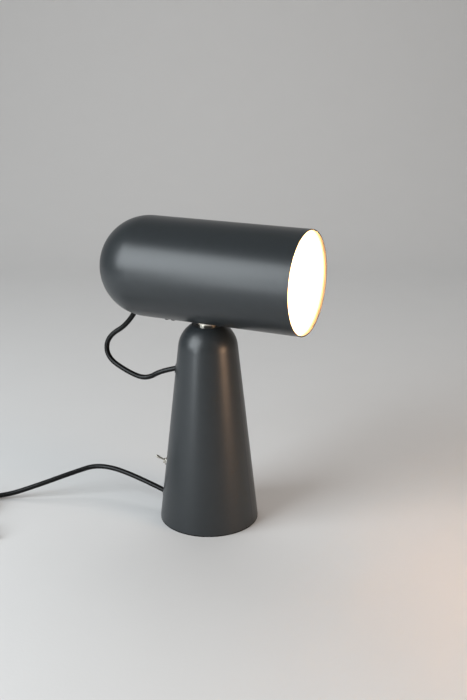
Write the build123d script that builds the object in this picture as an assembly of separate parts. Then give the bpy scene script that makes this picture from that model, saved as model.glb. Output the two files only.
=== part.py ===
from build123d import *
import math
import os

os.makedirs("parts", exist_ok=True)

# Millimetres. X runs from the shade's back towards its open mouth, Z is up, and the origin is
# the centre of the foot. The swivel axis is the Z axis.

# Driving sizes: the stand
FOOT_R = 56.5            # radius of the cone where it would meet the table
STAND_TOP = 231.1        # height of the flat on top of the stand
DOME_R = 33.3            # rounded top of the stand
FLAT_R = 18.0            # flat on the rounded top
STAND_WALL = 1.5
TOP_WALL = 2.5
PAD_T = 1.2
PAD_INSET = 0.3          # pad's edge inside the edge of the foot
COVER_T = 2.5
BALLAST_T = 9.0

# Driving sizes: the shade
SHADE_R = 56.0
SHADE_LENGTH = 242.5     # back pole to mouth
PIVOT_FROM_BACK = 126.5
SHADE_WALL = 1.2

# Driving sizes: the swivel
BOLT_R = 5.0
BOLT_FLATS = 8.6
HEX_M10 = 17.0
COLLAR_R, COLLAR_T = 13.0, 1.2
SADDLE_R, SADDLE_T = 12.5, 1.0
PLATE_R, PLATE_T = 12.5, 3.7
SWING = 80.0             # swivel each way, degrees

# Driving sizes: cords
CORD_R = 2.9
CORE_R = 0.95
BACK_TURN = 10.0         # the stand's line of holes at rest, degrees from straight behind
LOOP_DROP = 54.0         # loop's hole in the stand below the stand's top
LOOP_TILT = 20.4         # loop's hole in the shade, degrees back from straight down
MAINS_Z = 23.0
COIL_R = 29.0            # middle of the coil's turns
COIL_TURNS_R = 3 * CORD_R  # seven strands packed round one another
LYING = 3.9              # middle of the cord where it lies down
TAIL = 22.0              # coil to plug
BOOT = 10.0

# Driving sizes: toggle switch
SWITCH_Z = 61.0
THROW = 17.0             # lever each side of the middle, degrees
ROCK = 10.0              # contact rocker each side of the middle, degrees
BUSHING_R = 3.0
LEVER_OUT = 13.8         # ball centre to lever tip

# Clearances
SLIP = 0.1               # fixed pieces that follow one another's curves
FREE = 0.3               # curved faces of pieces that move against each other
RUN = 0.05               # shaft in its bore

FOOT_ANGLE = math.degrees(
    math.acos(DOME_R / math.hypot(FOOT_R, STAND_TOP - math.sqrt(DOME_R**2 - FLAT_R**2)))
    - math.atan2(STAND_TOP - math.sqrt(DOME_R**2 - FLAT_R**2), FOOT_R)
)
COS, SIN = math.cos(math.radians(FOOT_ANGLE)), math.sin(math.radians(FOOT_ANGLE))
DOME_Z = STAND_TOP - math.sqrt(DOME_R**2 - FLAT_R**2)
MOUTH_X = SHADE_LENGTH - PIVOT_FROM_BACK
SPHERE_X = SHADE_R - PIVOT_FROM_BACK
AXIS_Z = STAND_TOP + COLLAR_T + SADDLE_T + SHADE_R


def stand_r(z, inset=0.0):
    """Radius of the stand's cone at a height, with the surface moved in by an amount."""
    return FOOT_R - z * SIN / COS - inset / COS


def stand_form(inset, bottom, top):
    """Solid with the stand's outline moved in by an amount, between two heights."""
    r = DOME_R - inset
    flat = math.sqrt(max(r * r - (top - DOME_Z) ** 2, 1.0))
    middle = math.radians((FOOT_ANGLE + math.degrees(math.asin((top - DOME_Z) / r))) / 2)
    with BuildPart() as form:
        with BuildSketch(Plane.XZ):
            with BuildLine():
                Polyline((0, top), (0, bottom), (stand_r(bottom, inset), bottom),
                         (r * COS, DOME_Z + r * SIN))
                ThreePointArc((r * COS, DOME_Z + r * SIN),
                              (r * math.cos(middle), DOME_Z + r * math.sin(middle)), (flat, top))
                Line((flat, top), (0, top))
            make_face()
        revolve(axis=Axis.Z)
    return form.part


def shade_form(inset, front=0.0):
    """Solid with the shade's outline moved in by an amount, up to the mouth plus an amount."""
    r = SHADE_R - inset
    body = Pos(SPHERE_X, 0, AXIS_Z) * Rot(0, 90, 0) * Cylinder(
        r, MOUTH_X + front - SPHERE_X, align=(Align.CENTER, Align.CENTER, Align.MIN))
    return body + Pos(SPHERE_X, 0, AXIS_Z) * Sphere(r)


def rod(start, end, r):
    """Solid cylinder between two points."""
    a, b = Vector(*start), Vector(*end)
    return Plane(origin=a, z_dir=b - a).location * Cylinder(
        r, (b - a).length, align=(Align.CENTER, Align.CENTER, Align.MIN))


def ring(z, height, outer, inner):
    """Flat washer about the swivel axis, standing on a height."""
    low = (Align.CENTER, Align.CENTER, Align.MIN)
    return Pos(0, 0, z) * (Cylinder(outer, height, align=low) - Cylinder(inner, height, align=low))


def hexagon(flats, height, bore):
    """Hexagon nut standing on its origin."""
    nut = extrude(RegularPolygon(flats / math.sqrt(3), 6), height)
    if bore:
        nut -= Cylinder(bore, height, align=(Align.CENTER, Align.CENTER, Align.MIN))
    return nut


def tube(points, r, name):
    """Round cord along straight runs joined by arcs, with the arc radii printed."""
    pts = [Vector(*p) for p in points]
    radii = []
    for a, b, c in zip(pts, pts[1:], pts[2:]):
        half = (b - a).get_angle(c - b) / 2
        radii.append(0.45 * min((b - a).length, (c - b).length) / math.tan(math.radians(half)))
    edges, at = [], pts[0]
    for a, b, c, radius in zip(pts, pts[1:], pts[2:], radii):
        u, v = (b - a).normalized(), (c - b).normalized()
        cut = radius * math.tan(math.radians(u.get_angle(v) / 2))
        start, end = b - u * cut, b + v * cut
        edges += [Line(at, start), TangentArc(start, end, tangent=u)]
        at = end
    edges.append(Line(at, pts[-1]))
    path = Wire([e if isinstance(e, Edge) else e.edge() for e in edges])
    section = Plane(origin=pts[0], z_dir=pts[1] - pts[0]).location * Circle(r)
    solid = sweep(section, path=path, transition=Transition.ROUND)
    length = path.length
    print(f"{name}: length {length:.1f}, radii {[round(x, 1) for x in radii]},"
          f" volume {solid.volume:.0f} of {math.pi * r * r * length:.0f}")
    return solid


def grommet(at, along, layers, bore):
    """Bushing in a curved wall: two flanges and a neck that follow the wall's own surfaces.

    layers: solids inset by -flange, -gap, 0, wall, wall + gap and wall + gap + flange."""
    a, d = Vector(*at), Vector(*along).normalized()
    wide = rod(tuple(a - d * 12), tuple(a + d * 12), 5.6)
    neck = rod(tuple(a - d * 12), tuple(a + d * 12), 4.2 - SLIP)
    outside = wide & (layers[0] - layers[1])
    inside = wide & (layers[4] - layers[5])
    middle = neck & (layers[0] - layers[5])
    return outside + middle + inside - rod(tuple(a - d * 14), tuple(a + d * 14), bore)


def save(shape, name):
    """Write one piece, or a group of equal pieces, as a STEP file."""
    solids = shape.solids()
    shape = solids[0] if len(solids) == 1 else Compound(children=list(solids))
    shape.label = name
    export_step(shape, f"parts/{name}.step")


# ---- Routes and holes ----------------------------------------------------------------------
# The loop cord leaves the shade behind the swivel, hangs out in one bend and enters the stand.
tilt = math.radians(LOOP_TILT)
loop_out = Vector(SPHERE_X - SHADE_R * math.sin(tilt), 0, AXIS_Z - SHADE_R * math.cos(tilt))
back = Vector(-1, 0, 0).rotate(Axis.Z, BACK_TURN)
up = Vector(0, 0, 1)
loop_in = back * stand_r(STAND_TOP - LOOP_DROP) + up * (STAND_TOP - LOOP_DROP)
loop_up = Vector(0.46, 0, 0.888).normalized()
loop_on = (back * -0.978 + up * 0.209).normalized()
LOOP = [
    loop_out + loop_up * 11.9,
    loop_out - loop_up * 18.8,
    loop_out + Vector(-38.4, -4.0, -35.9),
    loop_out + Vector(-36.6, -9.0, -58.9),
    loop_in + Vector(-61.7, -5.7, -11.9),
    loop_in + Vector(-38.2, -3.7, -18.5),
    loop_in - loop_on * 16.6,
    loop_in + loop_on * 15.0,
]

# The mains cord leaves low at the back, rises a little, bends to the side and comes down.
mains_out = back * stand_r(MAINS_Z) + up * MAINS_Z
mains_up = Vector(0.958, 0, -0.287).normalized()
heading = Vector(-0.851, -0.526, 0).normalized()
coil_touch = mains_out + Vector(-230.9, -87.6, LYING - MAINS_Z)
coil_centre = coil_touch + heading.rotate(Axis.Z, 90) * COIL_R
COIL_Z = COIL_TURNS_R + 0.6
MAINS = [
    mains_out + mains_up * 18.6,
    mains_out - mains_up * 41.0,
    mains_out + Vector(-89.0, -0.6, 17.2),
    mains_out + Vector(-116.1, -16.6, 7.7),
    mains_out + Vector(-150.4, -39.6, -5.8),
    coil_touch - heading * 52,
    coil_touch - heading * 26,
]

# ---- Stand ---------------------------------------------------------------------------------
outer = stand_form(0, PAD_T, STAND_TOP)
inner = stand_form(STAND_WALL, PAD_T, STAND_TOP - TOP_WALL)
screw_at = [(46 * math.cos(math.radians(a)), 46 * math.sin(math.radians(a))) for a in (0, 120, 240)]
lug_z = PAD_T + COVER_T + BALLAST_T
stand = outer - inner
for n, (x, y) in enumerate(screw_at):
    block = Pos(0, 0, lug_z) * Rot(0, 0, 120 * n) * Pos(41, 0, 0) * Box(
        20, 10, 9.5, align=(Align.MIN, Align.CENTER, Align.MIN))
    stand += block & outer
    stand -= Pos(x, y, lug_z) * Cylinder(2.0 + RUN, 8, align=(Align.CENTER, Align.CENTER, Align.MIN))
stand -= Pos(0, 0, STAND_TOP) * Cylinder(BOLT_R + SLIP, 3 * TOP_WALL)
stand -= rod(tuple(loop_in - loop_on * 10), tuple(loop_in + loop_on * 10), 4.2)
stand -= rod(tuple(mains_out - mains_up * 10), tuple(mains_out + mains_up * 10), 4.2)
switch_at = back * stand_r(SWITCH_Z) + up * SWITCH_Z
switch = Plane(origin=switch_at, x_dir=back.cross(up), z_dir=back * COS + up * SIN)
stand -= switch.location * Cylinder(BUSHING_R + SLIP, 8)
save(stand, "stand_shell")

pad = Cylinder(stand_r(0) - PAD_INSET, PAD_T, align=(Align.CENTER, Align.CENTER, Align.MIN))
save(pad, "foot_pad")

cover_r = stand_r(PAD_T + COVER_T, STAND_WALL) - FREE
cover = Pos(0, 0, PAD_T) * Cylinder(cover_r, COVER_T, align=(Align.CENTER, Align.CENTER, Align.MIN))
ballast_r = stand_r(lug_z, STAND_WALL) - 0.5
ballast = Pos(0, 0, PAD_T + COVER_T) * Cylinder(
    ballast_r, BALLAST_T, align=(Align.CENTER, Align.CENTER, Align.MIN))
screws = []
for x, y in screw_at:
    low = (Align.CENTER, Align.CENTER, Align.MIN)
    cover -= Pos(x, y, PAD_T) * (Cylinder(2.2, COVER_T, align=low) + Cone(3.85, 2.0, 1.9, align=low))
    ballast -= Pos(x, y, PAD_T) * Cylinder(2.3, 30, align=low)
    head = Cone(3.75, 2.0, 1.8, align=low) - Box(7.6, 0.9, 1.6) - Box(0.9, 7.6, 1.6)
    screws.append(Pos(x, y, PAD_T) * (head + Pos(0, 0, 1.8) * Cylinder(2.0, 17.2, align=low)))
save(cover, "bottom_cover")
save(ballast, "ballast_disc")
save(Compound(children=screws), "cover_screws")

# ---- Swivel --------------------------------------------------------------------------------
dome_under = STAND_TOP - TOP_WALL
save(ring(dome_under - 1.5, 1.5, 10.5, BOLT_R + SLIP), "stand_washer")

plate_top = AXIS_Z - SHADE_R + SHADE_WALL + PLATE_T
stack = plate_top + 1.0
bolt_top = stack + 1.5 + 1.5 + 9.0 + 1.5
bolt = Pos(0, 0, dome_under - 1.5 - 6.4) * (hexagon(HEX_M10, 6.4, 0) + Cylinder(
    BOLT_R, bolt_top - dome_under + 7.9, align=(Align.CENTER, Align.CENTER, Align.MIN)))
for side in (-1, 1):
    bolt -= Pos(0, side * (BOLT_FLATS / 2 + 2), plate_top) * Box(
        12, 4, 30, align=(Align.CENTER, Align.CENTER, Align.MIN))
save(bolt, "pivot_bolt")

save(ring(STAND_TOP, COLLAR_T, COLLAR_R, BOLT_R + RUN), "pivot_collar")

saddle = ring(STAND_TOP + COLLAR_T, SADDLE_T + 4, SADDLE_R, BOLT_R + RUN) - shade_form(-SLIP)
save(saddle, "saddle_washer")

plate = ring(plate_top - PLATE_T, PLATE_T, PLATE_R, BOLT_R + RUN) & shade_form(SHADE_WALL + SLIP)
pin_turn = SWING + math.degrees(math.asin(2.0 / 9.6)) + math.degrees(math.asin(1.25 / 9.6)) + 1.0
pins = []
for side in (-1, 1):
    a = math.radians(180 + side * pin_turn)
    x, y = 9.6 * math.cos(a), 9.6 * math.sin(a)
    plate -= Pos(x, y, plate_top - 1.5) * Cylinder(1.25, 1.5, align=(Align.CENTER, Align.CENTER, Align.MIN))
    pins.append(Pos(x, y, plate_top - 1.5) * Cylinder(
        1.25, 4.2, align=(Align.CENTER, Align.CENTER, Align.MIN)))
save(plate, "saddle_plate")
save(Compound(children=pins), "stop_pins")
save(ring(plate_top, 1.0, 7.9, BOLT_R + RUN), "friction_washer")

keyhole = Cylinder(BOLT_R + RUN, 4) & Box(12, BOLT_FLATS + 2 * RUN, 4)
stop = Cylinder(7.9, 1.5) + Pos(-8.5, 0, 0) * Box(5.0, 4.0, 1.5) - keyhole
save(Pos(0, 0, stack + 0.75) * stop, "stop_washer")

# Spring washer: a bowed ring, made as the part of a flat ring between two bent sheets.
wave = ring(stack + 1.5, 1.5, 7.9, BOLT_R + RUN)
bow = 1.0
bend_r = (7.9**2 + bow**2) / (2 * bow)
wave &= Pos(0, 0, stack + 1.5 + bow - bend_r) * Rot(0, 90, 0) * (
    Cylinder(bend_r + 0.5, 30) - Cylinder(bend_r, 30))
save(wave, "wave_washer")

nut = Pos(0, 0, stack + 3.0) * (hexagon(HEX_M10, 7.0, BOLT_R + RUN)
                               + Pos(0, 0, 7.0) * (Cylinder(7.4, 2.0, align=(Align.CENTER, Align.CENTER, Align.MIN))
                                                   - Cylinder(BOLT_R + RUN, 9)))
save(nut, "lock_nut")

# ---- Shade ---------------------------------------------------------------------------------
shade = shade_form(0) - shade_form(SHADE_WALL, 1.0)
shade -= Pos(0, 0, AXIS_Z - SHADE_R) * Cylinder(BOLT_R + SLIP, 8)
screw_x = (-43.0, -51.0)
shade_under = AXIS_Z - SHADE_R
for x in screw_x:
    shade -= Pos(x, 0, shade_under) * Cylinder(1.7, 6)
shade -= rod(tuple(loop_out - loop_up * 10), tuple(loop_out + loop_up * 10), 4.2)
save(shade, "shade_shell")

# Lamp holder bracket: a foot strip that follows the shade's inside, and an upright behind.
strip_top = shade_under + SHADE_WALL + 2.5
low = (Align.CENTER, Align.CENTER, Align.MIN)
bracket = Pos(-47.5, 0, shade_under) * Box(21, 14, strip_top - shade_under, align=low)
bracket += Pos(-57, 0, shade_under) * Box(2, 22, AXIS_Z + 11 - shade_under, align=low)
bracket -= Pos(-57, 0, AXIS_Z) * Rot(0, 90, 0) * Cylinder(BOLT_R + SLIP, 6)
for x in screw_x:
    bracket -= Pos(x, 0, shade_under) * Cylinder(1.7, 12)
bracket &= shade_form(SHADE_WALL + SLIP)
save(bracket, "holder_bracket")

SCREW_HEAD = 3.2
bracket_screws, bracket_nuts = [], []
for x in screw_x:
    under = Pos(x, 0, shade_under - SCREW_HEAD)
    head = fillet((under * Cylinder(2.8, SCREW_HEAD, align=low)).edges().sort_by(Axis.Z)[0], 0.9)
    head -= under * (Box(3.4, 0.7, 1.6) + Box(0.7, 3.4, 1.6))
    bracket_screws.append(head + Pos(x, 0, shade_under) * Cylinder(1.5, 8.0, align=low))
    bracket_nuts.append(Pos(x, 0, strip_top) * hexagon(5.5, 2.4, 1.5 + RUN))
save(Compound(children=bracket_screws), "bracket_screws")
save(Compound(children=bracket_nuts), "bracket_nuts")


def turned(profile, wall_axis_z=AXIS_Z):
    """Solid turned about the shade's axis from (x, radius) points."""
    with BuildPart() as piece:
        with BuildSketch(Plane.XZ):
            with BuildLine():
                Polyline(*profile, close=True)
            make_face()
        revolve(axis=Axis.X)
    return Pos(0, 0, wall_axis_z) * piece.part


# Lamp holder: threaded nipple and nut, back cap, insulating insert, front skirt, screw shell.
save(turned([(-63, 3.5), (-63, 5), (-50, 5), (-50, 3.5)]), "holder_nipple")
save(Pos(-58, 0, AXIS_Z) * Rot(0, -90, 0) * hexagon(14, 4, BOLT_R + RUN), "nipple_nut")
save(turned([(-56, 5 + RUN), (-56, 17), (-54, 19), (-42, 19), (-42, 17), (-53, 17), (-53, 5 + RUN)]),
     "holder_cap")
insert = turned([(-42, 0), (-42, 16.8), (-26, 16.8), (-26, 0)])
for side in (-1, 1):
    insert -= Pos(-42, side * 1.6, AXIS_Z) * Rot(0, 90, 0) * Cylinder(1.2, 8, align=low)
insert -= Pos(-30, 0, AXIS_Z) * Rot(0, 90, 0) * Cylinder(3.0, 5, align=low)
save(insert, "holder_insert")
save(turned([(-30, 0), (-30, 3 - SLIP), (-25, 3 - SLIP), (-22.3, 1.6), (-22.3, 0)]), "centre_contact")
save(turned([(-26, 13.4), (-26, 14.0), (-2, 14.0), (-1, 14.6), (-1, 14.0), (-2, 13.4)]), "screw_shell")
save(turned([(-42, 17), (-42, 19.5), (1, 19.5), (3, 18), (3, 15.2), (-0.8, 15.2), (-0.8, 17)]),
     "holder_skirt")

# Bulb: screw cap with its contact, insulating ring and glass.
cap_turns = [(-19 + 0.01, 9)]
for n in range(6):
    x = -16.5 + 3.2 * n
    cap_turns += [(x, 12.2), (x + 0.8, 13.0), (x + 1.6, 13.0), (x + 2.4, 12.2)]
cap_turns += [(6, 12.2), (6, 11.5), (-15.5, 11.5), (-18.0, 8.6)]
save(turned(cap_turns), "bulb_cap")
save(turned([(-22, 0), (-22, 3.2), (-21, 4.8), (-18.99, 8.5), (-17.9, 8.4), (-17.9, 0)]), "bulb_contact")
tip_x = MOUTH_X - 32.0
ball_x = tip_x - 30.0


def bulb_form(t):
    """Solid with the bulb's outline moved in by an amount."""
    with BuildPart() as form:
        with BuildSketch(Plane.XZ):
            with BuildLine():
                Polyline((6.1 + t, 0), (6.1 + t, 13.0 - t), (9.0, 14.4 - t))
                Spline((9.0, 14.4 - t), (ball_x - 26, 21.5 - t), (ball_x, 30.0 - t),
                       tangents=((1, 0.12), (1, 0)))
                slant = (30.0 - t) * math.sqrt(0.5)
                ThreePointArc((ball_x, 30.0 - t), (ball_x + slant, slant), (tip_x - t, 0))
                Line((tip_x - t, 0), (6.1 + t, 0))
            make_face()
        revolve(axis=Axis.X)
    return form.part


save(Pos(0, 0, AXIS_Z) * (bulb_form(0) - bulb_form(1.0)), "bulb_glass")

# ---- Toggle switch -------------------------------------------------------------------------
# In the switch's own plane z points out through the wall and y points down.
here = switch.location
save(here * Pos(0, 0, -2.3) * (Cylinder(4.2, 0.5, align=low) - Cylinder(BUSHING_R + RUN, 2)), "switch_back_washer")
save(here * (Cylinder(4.4, 0.6, align=low) - Cylinder(BUSHING_R + RUN, 2)), "switch_washer")
save(here * Pos(0, 0, 0.6) * hexagon(8.0, 2.0, BUSHING_R + RUN), "switch_nut")
frame_plate = Pos(0, 0, -3.1) * Box(8, 13, 0.8, align=low) - Pos(0, 0, -3.1) * Cylinder(BUSHING_R, 4)
save(here * frame_plate, "switch_frame")
bushing = Pos(0, 0, -3.1) * Cylinder(BUSHING_R, 8.1, align=low)
bushing -= Pos(0, 0, -3.1) * Cylinder(2.5, 3.1, align=low)
bushing -= Pos(0, 0, 0) * Cylinder(2.35, 4.2, align=low) + Pos(0, 0, 4) * Cylinder(2.1, 3)
save(here * bushing, "switch_bushing")

case = Pos(0, 0, -12) * Box(8, 13, 8.9, align=low) - Pos(0, 0, -11) * Box(6, 11, 8, align=low)
terminals = []
for y, top in ((-4.7, -9.2), (0, -8.7), (4.7, -9.2)):
    case -= Pos(0, y, -12.5) * Box(2.0, 0.8, 3, align=low)
    tab = Pos(0, y, -16) * Box(2.0 - 2 * RUN, 0.6, top + 16, align=low)
    terminals.append(here * (tab - Pos(0, y, -14.6) * Rot(90, 0, 0) * Cylinder(0.5, 2)))
save(here * case, "switch_case")
save(Compound(children=terminals), "switch_terminals")

ball_low, ball_high = -math.sqrt(2.25**2 - 0.6**2), math.sqrt(2.25**2 - 0.9**2)
with BuildPart() as bat:
    with BuildSketch(Plane.XZ):
        with BuildLine():
            Polyline((0, -8.7), (0.5, -8.5), (0.8, -7.9), (0.6, -7.2), (0.6, ball_low))
            ThreePointArc((0.6, ball_low), (2.25, 0), (0.9, ball_high))
            Polyline((0.9, ball_high), (0.95, 3.6), (1.65, LEVER_OUT - 1.7), (1.5, LEVER_OUT - 0.8),
                     (1.0, LEVER_OUT - 0.2), (0, LEVER_OUT), (0, -8.7))
        make_face()
    revolve(axis=Axis.Z)
save(here * Pos(0, 0, 2.0) * Rot(THROW, 0, 0) * bat.part, "switch_lever")
rocker = Pos(0, 0, 0.75) * Box(3.0, 8.4, 0.5) + Pos(0, 0, 0.25) * Box(2.0, 0.9, 0.5)
rocker += Rot(0, 90, 0) * Cylinder(0.5, 2.0)
save(here * Pos(0, 0, -8.1) * Rot(ROCK, 0, 0) * rocker, "switch_rocker")

# ---- Grommets and cord grips ---------------------------------------------------------------
flange = 1.2
in_stand = [stand_form(i, PAD_T, STAND_TOP - max(i, 0)) for i in (
    -SLIP - flange, -SLIP, 0, STAND_WALL, STAND_WALL + SLIP, STAND_WALL + SLIP + flange)]
in_shade = [shade_form(i) for i in (
    -SLIP - flange, -SLIP, 0, SHADE_WALL, SHADE_WALL + SLIP, SHADE_WALL + SLIP + flange)]
save(grommet(loop_out, loop_up, in_shade, CORD_R + FREE), "shade_grommet")
save(grommet(loop_in, loop_on, in_stand, CORD_R + SLIP), "loop_grommet")
save(grommet(mains_out, mains_up, in_stand, CORD_R + SLIP), "mains_grommet")


def grip(at, along, start, gap):
    """Split collar clamped on the cord, just inside the wall."""
    a, b = at + along * start, at + along * (start + 5.0)
    return rod(tuple(a), tuple(b), 5.2) - rod(tuple(a - along), tuple(b + along), CORD_R + gap)


save(grip(loop_out, loop_up, 4.2, FREE), "shade_cord_grip")
save(grip(loop_in, loop_on, 5.2, SLIP), "loop_cord_grip")
save(grip(mains_out, mains_up, 5.4, SLIP), "mains_cord_grip")

# ---- Cords ---------------------------------------------------------------------------------
save(tube(LOOP, CORD_R, "loop_lead"), "loop_lead")
save(tube(MAINS, CORD_R, "mains_lead"), "mains_lead")

turn = math.radians(263)
tail_way = Vector(-math.sin(turn), math.cos(turn), 0)
tail_at = coil_centre + Vector(math.cos(turn), math.sin(turn), 0) * (COIL_R + 5.0)
tail_at = Vector(tail_at.X, tail_at.Y, 6.9)
half_ring = revolve(Plane.XZ * Pos(COIL_R, 0) * Circle(COIL_TURNS_R), Axis.Z, 180)
coil = Pos(coil_centre.X, coil_centre.Y, COIL_Z) * half_ring
coil += rod(tuple(coil_touch - heading * 26), tuple(coil_touch), CORD_R)
coil += rod(tuple(tail_at), tuple(tail_at + tail_way * TAIL), CORD_R)
coil += Pos(coil_centre.X, coil_centre.Y, COIL_Z) * Rot(0, 0, 180) * half_ring
save(coil, "mains_coil")

tie_turn = math.radians(205)
tie_at = coil_centre + Vector(math.cos(tie_turn), math.sin(tie_turn), 0) * COIL_R
tie_way = Vector(-math.sin(tie_turn), math.cos(tie_turn), 0)
tie_at = Vector(tie_at.X, tie_at.Y, COIL_Z)
tie = rod(tuple(tie_at - tie_way * 3), tuple(tie_at + tie_way * 3), COIL_TURNS_R + 0.55)
tie -= rod(tuple(tie_at - tie_way * 4), tuple(tie_at + tie_way * 4), COIL_TURNS_R + 0.3)
save(tie, "coil_tie")

# Flat two-pin plug lying beside the coil, its cable side towards the coil.
plug = Plane(origin=tail_at + tail_way * TAIL, x_dir=tail_way, z_dir=(0, 0, 1)).location
boot = loft([Plane(origin=(x, 0, 0), z_dir=(1, 0, 0)).location * Circle(r)
             for x, r in ((0, 3.6), (BOOT, 5.2))])
boot -= Pos(0, 0, 0) * Rot(0, 90, 0) * Cylinder(CORD_R, 6)
save(plug * boot, "plug_boot")
body = Pos(BOOT, 0, 0) * loft([
    Plane(origin=(0, 0, 0), z_dir=(1, 0, 0), x_dir=(0, 1, 0)).location * RectangleRounded(16, 12.5, 4),
    Plane(origin=(16, 0, 0), z_dir=(1, 0, 0), x_dir=(0, 1, 0)).location * RectangleRounded(26, 13.7, 4),
    Plane(origin=(35, 0, 0), z_dir=(1, 0, 0), x_dir=(0, 1, 0)).location * RectangleRounded(35.3, 13.7, 4),
], ruled=True)
plug_pins = []
for side in (-1, 1):
    body -= Pos(BOOT + 28, side * 9.3, 0) * Rot(0, 90, 0) * Cylinder(2.0, 7, align=low)
    pin = Pos(BOOT + 28, side * 9.3, 0) * Rot(0, 90, 0) * Cylinder(2.0, 26, align=low)
    plug_pins.append(plug * chamfer(pin.edges().sort_by(Axis.X)[-1], 0.7))
save(plug * body, "plug_body")
save(Compound(children=plug_pins), "plug_pins")

# ---- Terminal block and single cores -------------------------------------------------------
block_x, port_z = 8.0, lug_z + 7.0
block = Pos(block_x, 0, lug_z) * Box(22, 17, 14, align=low)
clamp_screws = []
for y in (-4, 4):
    block -= Pos(block_x, y, port_z) * Rot(0, 90, 0) * Cylinder(1.6, 22)
    for x in (-6, 6):
        block -= Pos(block_x + x, y, port_z) * Cylinder(1.6, 7, align=low)
        clamp_screws.append(Pos(block_x + x, y, port_z + 1.2) * (
            Cylinder(1.5, 4.6, align=low) - Pos(0, 0, 4.6) * Box(3.2, 0.5, 1.2)))
save(block, "terminal_block")
save(Compound(children=clamp_screws), "terminal_screws")

side = Vector(0, 1.2, 0)
tab = here.position - back * 16.4
CORES = {
    "core_mains_neutral": [MAINS[0] + mains_up * 0.4 + side, (-20, 3.2, port_z - 2.5),
                           (block_x - 8, 4, port_z)],
    "core_mains_live": [MAINS[0] + mains_up * 0.4 - side, (-23, -6.0, port_z - 2.2),
                        (-23, -6.0, SWITCH_Z - 6.6), tab - up * 6.6],
    "core_switched": [tab - up * 1.9, (-11, -6, SWITCH_Z - 1.4), (-12, -6, port_z),
                      (block_x - 8, -4.2, port_z)],
    "core_loop_neutral": [LOOP[-1] + loop_on * 0.3 + side, (26, 2.0, LOOP[-1].Z + 3),
                          (33, 4, port_z + 2), (block_x + 8, 4, port_z)],
    "core_loop_live": [LOOP[-1] + loop_on * 0.3 - side, (26, -2.0, LOOP[-1].Z + 3),
                       (33, -4, port_z + 2), (block_x + 8, -4, port_z)],
    "core_shade_neutral": [LOOP[0] + loop_up * 0.6 + side, (-80, 1.6, AXIS_Z), (-36, 1.6, AXIS_Z)],
    "core_shade_live": [LOOP[0] + loop_up * 0.6 - side, (-80, -1.6, AXIS_Z), (-36, -1.6, AXIS_Z)],
}
for name, points in CORES.items():
    points = [p if isinstance(p, Vector) else Vector(*p) for p in points]
    save(tube([tuple(p) for p in points], CORE_R, name), name)
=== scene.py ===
"""Desk lamp: a bullet-shaped swivel shade on a tapered stand. Row frame, metres, +Z up."""
import math

import bpy
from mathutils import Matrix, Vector


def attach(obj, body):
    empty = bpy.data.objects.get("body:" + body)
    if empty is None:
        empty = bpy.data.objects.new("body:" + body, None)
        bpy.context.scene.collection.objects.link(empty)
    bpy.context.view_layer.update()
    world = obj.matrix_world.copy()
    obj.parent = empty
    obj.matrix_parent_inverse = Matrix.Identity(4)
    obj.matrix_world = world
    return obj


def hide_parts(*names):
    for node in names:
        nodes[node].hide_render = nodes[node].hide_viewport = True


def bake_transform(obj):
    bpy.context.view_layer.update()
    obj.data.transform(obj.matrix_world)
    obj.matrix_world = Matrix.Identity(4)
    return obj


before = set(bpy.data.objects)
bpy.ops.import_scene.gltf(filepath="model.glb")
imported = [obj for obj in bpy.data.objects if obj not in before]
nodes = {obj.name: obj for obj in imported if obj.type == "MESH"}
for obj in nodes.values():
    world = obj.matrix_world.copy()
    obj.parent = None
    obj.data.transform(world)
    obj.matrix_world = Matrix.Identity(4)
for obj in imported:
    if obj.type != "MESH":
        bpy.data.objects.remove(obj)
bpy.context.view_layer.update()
scene = bpy.context.scene

# ---- Camera --------------------------------------------------------------------------------
# A little above the lamp and in front of its side, so that the mouth of the shade opens to the
# right and a little towards the eye.
CAMERA_TURN = math.radians(25.13)
camera = bpy.data.objects.new("camera", bpy.data.cameras.new("camera"))
scene.collection.objects.link(camera)
camera.location = (0.4721, -0.9403, 0.5432)
camera.rotation_euler = (math.radians(90 - 18.02), 0, CAMERA_TURN)
camera.data.sensor_fit = "VERTICAL"
camera.data.sensor_height = 36
camera.data.lens = 51.43
camera.data.clip_start = 0.02
scene.camera = camera


# ---- Stand ---------------------------------------------------------------------------------
# One piece of spun steel, wide at the foot and closed by a small dome, with a satin charcoal
# powder coat baked on. Its openings are punched before coating.
def colour(hex_value):
    """Linear colour of an sRGB hex value."""
    value = [int(hex_value[i:i + 2], 16) / 255 for i in (1, 3, 5)]
    return [c / 12.92 if c <= 0.04045 else ((c + 0.055) / 1.055) ** 2.4 for c in value] + [1.0]


def add_node(tree, kind, settings, inputs):
    """One shader node with its settings, and its inputs set to a value or linked to an output."""
    node = tree.nodes.new(kind)
    for name, value in settings.items():
        setattr(node, name, value)
    for name, value in inputs.items():
        if isinstance(value, bpy.types.NodeSocket):
            tree.links.new(value, node.inputs[name])
        else:
            node.inputs[name].default_value = value
    return node


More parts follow.
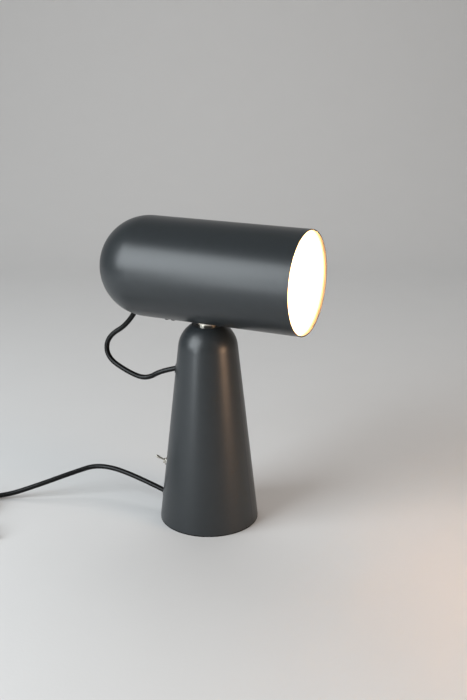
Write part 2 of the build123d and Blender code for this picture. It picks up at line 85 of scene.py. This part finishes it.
def finish(name, dark, light, rough, grain, depth, metallic=0.0, ior=1.5):
    """A surface whose colour, roughness and height all follow one fine grain.

    dark and light are the two ends of its colour, rough the two ends of its roughness, grain the
    size of the grain and depth its height, in metres. A grain that is really finer than this is
    drawn as coarse as it needs to be to show.
    """
    made = bpy.data.materials.new(name)
    made.use_nodes = True
    tree = made.node_tree
    shader = tree.nodes["Principled BSDF"]
    shader.inputs["Metallic"].default_value = metallic
    shader.inputs["IOR"].default_value = ior
    place = add_node(tree, "ShaderNodeTexCoord", {}, {})
    noise = add_node(tree, "ShaderNodeTexNoise", {},
                     {"Vector": place.outputs["Object"], "Scale": 1 / grain, "Detail": 3.0})
    wide = add_node(tree, "ShaderNodeTexNoise", {},
                    {"Vector": place.outputs["Object"], "Scale": 0.06 / grain, "Detail": 2.0})
    hue = add_node(tree, "ShaderNodeMix", {"data_type": "RGBA"}, {"Factor": wide.outputs["Fac"]})
    hue.inputs[6].default_value = colour(dark)
    hue.inputs[7].default_value = colour(light)
    spread = add_node(tree, "ShaderNodeMapRange", {},
                      {"Value": noise.outputs["Fac"], "From Min": 0.3, "From Max": 0.7,
                       "To Min": rough[0], "To Max": rough[1]})
    bump = add_node(tree, "ShaderNodeBump", {}, {"Height": noise.outputs["Fac"], "Distance": depth})
    tree.links.new(hue.outputs[2], shader.inputs["Base Color"])
    tree.links.new(spread.outputs["Result"], shader.inputs["Roughness"])
    tree.links.new(bump.outputs["Normal"], shader.inputs["Normal"])
    return made


def dress(made, *names):
    """Give pieces of the lamp a surface, and shade them smooth up to their real edges."""
    bpy.ops.object.select_all(action="DESELECT")
    for name in names:
        nodes[name].data.materials.clear()
        nodes[name].data.materials.append(made)
        nodes[name].select_set(True)
    bpy.context.view_layer.objects.active = nodes[names[0]]
    bpy.ops.object.shade_smooth_by_angle(angle=math.radians(35))
    bpy.ops.object.select_all(action="DESELECT")


COAT_DARK, COAT_LIGHT = "#24282a", "#292d30"
COAT_ROUGH = (0.29, 0.39)
# satin, with the faint orange peel of baked powder: broad soft highlights and no sharp reflection
coat = finish("charcoal_powder_coat", COAT_DARK, COAT_LIGHT, COAT_ROUGH, 0.0005, 0.00003)
dress(coat, "stand_shell")

# ---- Foot ----------------------------------------------------------------------------------
# A die-cut ring of black foam stuck under the foot, a pressed zinc-coated cover screwed up
# into it, and a disc of bare cast iron inside for weight.
# open cells that take in nearly all the light
foam = finish("black_foam", "#080808", "#0c0c0c", (0.85, 0.95), 0.0006, 0.0001, ior=1.45)
foam.node_tree.nodes["Principled BSDF"].inputs["Specular IOR Level"].default_value = 0.1
dress(foam, "foot_pad")
# plated rolled sheet: pale grey, with a blurred shine
zinc_sheet = finish("zinc_sheet", "#9fa1a3", "#b4b6b8", (0.3, 0.48), 0.0009, 0.00002, metallic=1.0)
dress(zinc_sheet, "bottom_cover", "holder_bracket", "switch_frame")
# sand-cast and left bare: dark, rough and dull
dress(finish("raw_iron", "#353536", "#434344", (0.5, 0.8), 0.002, 0.0002, metallic=1.0),
      "ballast_disc")
# plated turned parts shine a little more than the sheet
zinc = finish("zinc_hardware", "#a6a8aa", "#b8babc", (0.26, 0.4), 0.0007, 0.00001, metallic=1.0)
dress(zinc, "cover_screws")

# ---- Swivel --------------------------------------------------------------------------------
# A flatted steel bolt up through the dome, with stop pins and a keyed tab washer inside the
# shade. Nickel collar and washer show in the gap, and a nylon washer gives the friction.
# bright plating: warm, and it mirrors what stands round it
nickel = finish("nickel", "#c2bdb3", "#cfcac0", (0.12, 0.26), 0.0012, 0.00001, metallic=1.0)
dress(zinc, "stand_washer", "pivot_bolt", "saddle_plate", "stop_pins", "stop_washer", "lock_nut")
dress(nickel, "pivot_collar", "saddle_washer")
# punched sheet, off-white and a little waxy
nylon = finish("white_nylon", "#d8d6ce", "#e0ded6", (0.35, 0.5), 0.001, 0.00002, ior=1.53)
dress(nylon, "friction_washer")
# hardened strip, darker than the plated steel round it
dress(finish("spring_steel", "#747578", "#828386", (0.22, 0.4), 0.0011, 0.00001, metallic=1.0),
      "wave_washer")

# ---- Shade ---------------------------------------------------------------------------------
# Spun aluminium, a cylinder closed by a half sphere at the back. The outside and the rim have
# the stand's charcoal coat; the inside is sprayed white.
INSIDE = 0.0549
RIM_X = 0.116
BACK_CENTRE = (-0.0705, 0.0, 0.2893)
# the stand's satin coat outside, and a white inside that the bulb fills with light
two_tone = finish("shade_two_tone", COAT_DARK, COAT_LIGHT, COAT_ROUGH, 0.0005, 0.00003)
tree = two_tone.node_tree
shader = tree.nodes["Principled BSDF"]
outside = shader.inputs["Base Color"].links[0].from_socket
place = add_node(tree, "ShaderNodeTexCoord", {}, {})
from_back = add_node(tree, "ShaderNodeVectorMath", {"operation": "SUBTRACT"},
                     {0: place.outputs["Object"], 1: BACK_CENTRE})
# along the cylinder the distance is from its axis, and behind it from the half sphere's centre
from_axis = add_node(tree, "ShaderNodeVectorMath", {"operation": "MINIMUM"},
                     {0: from_back.outputs["Vector"], 1: (0, 1, 1)})
distance = add_node(tree, "ShaderNodeVectorMath", {"operation": "LENGTH"},
                    {0: from_axis.outputs["Vector"]})
inside = add_node(tree, "ShaderNodeMath", {"operation": "LESS_THAN"},
                  {0: distance.outputs["Value"], 1: INSIDE})
# painted shade: over the last few millimetres before the rim the inside's white fades smoothly into
# the charcoal, standing in for the dimmer band just inside the rim
along = add_node(tree, "ShaderNodeSeparateXYZ", {}, {0: place.outputs["Object"]})
rim_painted_shade = add_node(tree, "ShaderNodeMapRange", {"interpolation_type": "SMOOTHSTEP"},
                 {"Value": along.outputs["X"], "From Min": RIM_X - 0.0065, "From Max": RIM_X - 0.0012,
                  "To Min": 1.0, "To Max": 0.0})
white = add_node(tree, "ShaderNodeMath", {"operation": "MULTIPLY"},
                 {0: inside.outputs["Value"], 1: rim_painted_shade.outputs["Result"]})
sides = add_node(tree, "ShaderNodeMix", {"data_type": "RGBA"}, {"Factor": white.outputs["Value"]})
sides.inputs[7].default_value = colour("#e9e6df")
tree.links.new(outside, sides.inputs[6])
tree.links.new(sides.outputs[2], shader.inputs["Base Color"])
dress(two_tone, "shade_shell")

# ---- Lamp holder ---------------------------------------------------------------------------
# A bracket hangs from two dark screws under the shade and carries the holder on a hollow
# nipple: black plastic cap and skirt, glazed ceramic insert, brass contacts and screw shell.
# blackened heads with a low sheen
dress(finish("black_screw", "#191a1b", "#202122", (0.3, 0.45), 0.0007, 0.00002), "bracket_screws")
dress(zinc, "bracket_nuts", "holder_nipple", "nipple_nut")
# moulded in a lightly sparked tool: an even black with a soft sheen
plastic = finish("black_plastic", "#141414", "#1a1a1a", (0.42, 0.58), 0.0006, 0.00003)
dress(plastic, "holder_cap", "holder_skirt")
# a clear glaze over a cream body
dress(finish("ceramic", "#e0dbd0", "#e8e3d8", (0.2, 0.35), 0.002, 0.00002), "holder_insert")
# pressed and left bare: yellow, with a soft shine
brass = finish("brass", "#c39d55", "#cfa960", (0.25, 0.4), 0.001, 0.00001, metallic=1.0)
dress(brass, "centre_contact", "screw_shell")

# ---- Bulb ----------------------------------------------------------------------------------
# A 60 mm opal bulb, lit: the glass glows warm white all over. Nickelled cap with a contact
# button in black glass.
# milky glass that hides the light's source
opal = finish("opal_glass", "#f2ede2", "#f6f1e6", (0.25, 0.32), 0.003, 0.00001)
shader = opal.node_tree.nodes["Principled BSDF"]
shader.inputs["Emission Color"].default_value = colour("#ffbc7c")
shader.inputs["Emission Strength"].default_value = 55.0
dress(opal, "bulb_glass")
dress(nickel, "bulb_cap")
# fused and smooth, with sharp highlights
dress(finish("black_glass", "#0e0e0e", "#131313", (0.1, 0.22), 0.0015, 0.00001, ior=1.55),
      "bulb_contact")

# ---- Switch --------------------------------------------------------------------------------
# A small toggle switch low on the back of the stand: nickel lever, bushing, nut and washers
# outside, and a moulded case with brass rocker and terminals in a pressed frame inside.
dress(nickel, "switch_washer", "switch_back_washer", "switch_nut", "switch_bushing", "switch_lever")
# hard moulded resin: dark red, with a fair shine
dress(finish("red_plastic", "#751a16", "#831e1a", (0.3, 0.42), 0.001, 0.00002, ior=1.55),
      "switch_case")
dress(brass, "switch_rocker", "switch_terminals")

# ---- Wiring --------------------------------------------------------------------------------
# Black grommets and clamped cord grips at each hole, a nylon terminal block with brass screws,
# and the cords' blue and brown cores between them.
# a dusty black that hardly shines
rubber = finish("black_rubber", "#101010", "#161616", (0.58, 0.75), 0.0007, 0.00003, ior=1.52)
dress(rubber, "shade_grommet", "loop_grommet", "mains_grommet")
dress(plastic, "shade_cord_grip", "loop_cord_grip", "mains_cord_grip")
dress(nylon, "terminal_block")
dress(brass, "terminal_screws")
# smooth soft insulation, with a low sheen
dress(finish("blue_core", "#1c4b99", "#2353a5", (0.35, 0.48), 0.0008, 0.00001),
      "core_mains_neutral", "core_loop_neutral", "core_shade_neutral")
dress(finish("brown_core", "#542c15", "#60341b", (0.35, 0.48), 0.0008, 0.00001),
      "core_mains_live", "core_switched", "core_loop_live", "core_shade_live")

# ---- Plug ----------------------------------------------------------------------------------
# A moulded black two-pin plug with a soft boot, round nickelled pins, and a black tie that
# holds the coiled cord together.
dress(plastic, "plug_body")
dress(rubber, "plug_boot")
dress(nickel, "plug_pins")
# moulded strap, smoother than the cord it holds
dress(finish("black_tie", "#0d0d0e", "#131314", (0.35, 0.5), 0.0008, 0.00002), "coil_tie")

# ---- Loop cord -----------------------------------------------------------------------------
# Round black flexible cord, 5.8 mm: out of the shade underneath at its back, round one hanging
# bend and into the back of the stand.
CORD_R = 0.0029
# extruded soft sheath with a dull skin: nearly black, with one thin grey line of light
sheath = finish("black_cord", "#040404", "#070707", (0.22, 0.34), 0.0011, 0.00002)
sheath.node_tree.nodes["Principled BSDF"].inputs["Specular IOR Level"].default_value = 0.2


def cord_curve(name, points):
    """Round cord along one open spline through the route's bends."""
    data = bpy.data.curves.new(name, "CURVE")
    data.dimensions = "3D"
    spline = data.splines.new("NURBS")
    spline.points.add(len(points) - 1)
    for point, at in zip(spline.points, points):
        point.co = (*at, 1.0)
        point.radius = CORD_R
    spline.order_u = 3
    spline.use_endpoint_u = True
    data.resolution_u = 10
    # the points' own radius is the cord's, so the curve's box is the cord's too
    data.bevel_depth = 1.0
    data.bevel_resolution = 6
    data.use_fill_caps = True
    data.materials.append(sheath)
    cord = bpy.data.objects.new(name, data)
    scene.collection.objects.link(cord)
    return cord


def line_of(cord):
    """Points along a curve's middle."""
    cord.data.bevel_depth = 0
    mesh = bpy.data.meshes.new_from_object(cord)
    line = [v.co.copy() for v in mesh.vertices]
    bpy.data.meshes.remove(mesh)
    cord.data.bevel_depth = 1.0
    return line


def length_of(line):
    """Length along a row of points."""
    return sum((b - a).length for a, b in zip(line, line[1:]))


loop_out = Vector((-0.09002, 0, 0.23681))
loop_in = Vector((-0.03589, -0.00633, 0.1771))
loop_up = Vector((0.46, 0, 0.888)).normalized()
loop_on = Vector((0.9631, 0.1698, 0.209)).normalized()
guide = cord_curve("loop_guide", [
    loop_out + loop_up * 0.0119,
    loop_out - loop_up * 0.0188,
    loop_out + Vector((-0.0384, -0.004, -0.0359)),
    loop_out + Vector((-0.0366, -0.009, -0.0589)),
    loop_in + Vector((-0.0617, -0.0057, -0.0119)),
    loop_in + Vector((-0.0382, -0.0037, -0.0185)),
    loop_in - loop_on * 0.0166,
    loop_in + loop_on * 0.015,
])
loop_line = line_of(guide)
loop = bpy.data.objects.new("loop_cord", bpy.data.meshes.new_from_object(guide))
scene.collection.objects.link(loop)
bpy.data.objects.remove(guide)
loop.data.shade_smooth()
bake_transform(loop)
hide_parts("loop_lead")

# ---- Mains cord ----------------------------------------------------------------------------
# The same cord, out low at the back: it springs up a little, comes down on the table, and the
# rest of it lies in a tied coil of a little over six turns, with the plug beside it.
COIL_R, COIL_Z = 0.029, 0.0093
LYING = 0.0039
mains_out = Vector((-0.05308, -0.00936, 0.023))
mains_up = Vector((0.958, 0, -0.287)).normalized()
heading = Vector((-0.851, -0.526, 0)).normalized()
coil_touch = mains_out + Vector((-0.2309, -0.0876, LYING - mains_out.z))
coil_centre = coil_touch + Vector((-heading.y, heading.x, 0)) * COIL_R
coil_centre.z = COIL_Z
route = [
    mains_out + mains_up * 0.0186,
    mains_out - mains_up * 0.041,
    mains_out + Vector((-0.089, -0.0006, 0.0172)),
    mains_out + Vector((-0.1161, -0.0166, 0.0077)),
    mains_out + Vector((-0.1504, -0.0396, -0.0058)),
    coil_touch - heading * 0.052,
    coil_touch - heading * 0.014,
]
# A turn keeps one place in the bundle for most of the way round and then moves over to the next
# one: so far out from the middle of the bundle, and so far up. The last runs off to the plug.
strands = [(0.0, -0.0054), (0.0049, -0.0029), (0.0, 0.0003), (-0.0049, -0.0028), (-0.0049, 0.0029),
           (0.0, 0.0058), (0.0050, 0.0026), (0.0050, -0.0024)]
STEPS = 14
FULL_TURNS, STAYS = 6, 0.7
SPLINE_OUT = 1.026
first_angle = math.atan2(coil_touch.y - coil_centre.y, coil_touch.x - coil_centre.x)
tail_angle = math.radians(263)
turns = FULL_TURNS + (tail_angle - first_angle) / (2 * math.pi)
for n in range(1, int(turns * STEPS) + 1):
    turn = n / STEPS
    here, after = strands[int(turn)], strands[int(turn) + 1]
    if turn < FULL_TURNS:
        share = max(0.0, (turn % 1 - STAYS) / (1 - STAYS))
    else:
        share = (turn - FULL_TURNS) / (turns - FULL_TURNS)
    share = share * share * (3 - 2 * share)
    out, up = (a + (b - a) * share for a, b in zip(here, after))
    # the spline passes inside its points, so they lie a little further out
    r = (COIL_R + out) * SPLINE_OUT
    angle = first_angle + 2 * math.pi * turn
    route.append(coil_centre + Vector((r * math.cos(angle), r * math.sin(angle), up)))
tail_way = Vector((-math.sin(tail_angle), math.cos(tail_angle), 0))
tail_at = coil_centre + Vector((math.cos(tail_angle), math.sin(tail_angle), 0)) * (COIL_R + 0.005)
tail_at.z = 0.0069
route += [tail_at + tail_way * 0.005, tail_at + tail_way * 0.0245]
mains = cord_curve("mains_cord", route)
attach(mains, "stand")
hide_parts("mains_lead", "mains_coil")
length_of(line_of(mains))

# ---- Floor and backdrop --------------------------------------------------------------------
# One wide sheet of pale paper that lies flat under the lamp and curves up far behind it.
SHEET_WIDE, SHEET_DEEP, SHEET_TALL, FOLD_R = 10.0, 5.0, 4.0, 0.8
FOLD_AT = 2.0
NEAR = 0.01
across = Vector((math.cos(CAMERA_TURN), math.sin(CAMERA_TURN), 0))
away = Vector((-math.sin(CAMERA_TURN), math.cos(CAMERA_TURN), 0))
bpy.ops.object.select_all(action="DESELECT")
bpy.ops.mesh.primitive_plane_add(size=1, location=away * (FOLD_AT - SHEET_DEEP / 2),
                                 rotation=(0, 0, CAMERA_TURN))
sheet = bpy.context.object
sheet.name = "backdrop"
sheet.scale = (SHEET_WIDE, SHEET_DEEP, 1)
bpy.ops.object.transform_apply(location=True, rotation=True, scale=True)


def select_fold():
    """Select the sheet's far edge on the floor, where it folds up."""
    bpy.ops.object.mode_set(mode="OBJECT")
    for edge in sheet.data.edges:
        ends = [sheet.data.vertices[i].co for i in edge.vertices]
        edge.select = all(p.dot(away) > FOLD_AT - NEAR and p.z < NEAR for p in ends)
    bpy.ops.object.mode_set(mode="EDIT")
    bpy.ops.mesh.select_mode(type="EDGE")


bpy.ops.object.mode_set(mode="EDIT")
bpy.ops.mesh.select_all(action="DESELECT")
select_fold()
bpy.ops.mesh.extrude_edges_move(TRANSFORM_OT_translate={"value": (0, 0, SHEET_TALL)})
bpy.ops.mesh.select_all(action="DESELECT")
select_fold()
bpy.ops.mesh.bevel(offset=FOLD_R, segments=16, affect="EDGES")
bpy.ops.object.mode_set(mode="OBJECT")
sheet.data.shade_smooth()
# matt paper, on which the light falls off evenly and nothing shines
paper = finish("paper", "#cecece", "#d0d0d0", (0.8, 0.9), 0.004, 0.0001, ior=1.3)
sheet.data.materials.append(paper)


# ---- Lights --------------------------------------------------------------------------------
# A tall key softbox in front to the left with a low strip beside it, a weak fill to the right, a
# broad light over the backdrop, and a low warm strip where the lamp's light comes back.
def softbox(name, left, elevation, distance, size, power, tint):
    """A light facing the lamp, of a width and height, placed by its angle left of the camera."""
    a, e = math.radians(left), math.radians(elevation)
    sideways = across * -math.sin(a) * math.cos(e) + away * -math.cos(a) * math.cos(e)
    aim = Vector((0, 0, 0.2))
    data = bpy.data.lights.new(name, "AREA")
    data.shape = "RECTANGLE"
    data.size, data.size_y = size
    data.energy = power
    data.color = colour(tint)[:3]
    light = bpy.data.objects.new(name, data)
    scene.collection.objects.link(light)
    light.location = aim + sideways * distance + Vector((0, 0, math.sin(e) * distance))
    light.rotation_euler = (aim - light.location).to_track_quat("-Z", "Y").to_euler()
    return light


softbox("key", 59, 26, 1.5, (1.1, 1.05), 26, "#f2faff")
softbox("strip", 46, 0, 1.3, (0.22, 0.3), 2.2, "#f2faff")
softbox("fill", -50, 40, 2.0, (1.2, 1.2), 4, "#fff6ec")
softbox("bounce", -58, 2, 1.1, (0.4, 0.3), 5.0, "#ffd0a8")
overhead = softbox("overhead", 180, 60, 2.2, (2.0, 1.2), 15.0, "#fffefd")
overhead.visible_glossy = False

scene.world = bpy.data.worlds.new("world")
scene.world.use_nodes = True
sky = scene.world.node_tree.nodes["Background"]
sky.inputs["Color"].default_value = colour("#e6e6e3")
sky.inputs["Strength"].default_value = 0.26
scene.view_settings.view_transform = "Standard"
